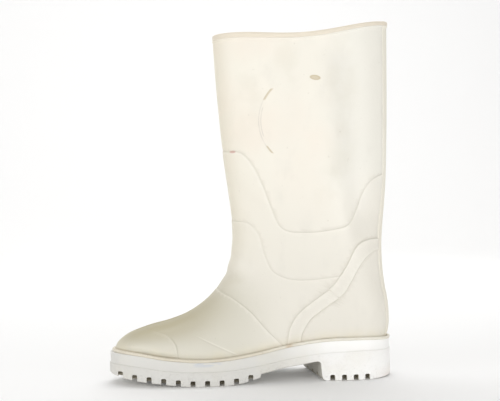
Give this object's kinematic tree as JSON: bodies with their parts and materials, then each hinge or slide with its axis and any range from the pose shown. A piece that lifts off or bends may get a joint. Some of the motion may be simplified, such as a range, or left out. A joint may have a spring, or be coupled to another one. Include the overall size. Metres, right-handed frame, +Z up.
{
  "type": "pvc work boot",
  "caption": "Tall white PVC work boot: hollow moulded upper with raised toe cap, ankle and heel panels, thick collar rim, welt bead, and a lugged sole with a heel.",
  "frame": {"origin": "on the floor, under the middle of the boot's box", "axes": "+X from toe to heel, +Y to the outer side of the foot, +Z up the shaft"},
  "size_m": [0.303, 0.1087, 0.38],
  "materials": {
    "sole_pvc": "matt moulded PVC",
    "welt_pvc": "satin moulded PVC",
    "upper_pvc": "satin moulded PVC",
    "insole_felt": "felt"
  },
  "bodies": {
    "root": {"outsole": "sole_pvc", "welt": "welt_pvc", "upper": "upper_pvc", "insole": "insole_felt"}
  },
  "joints": []
}
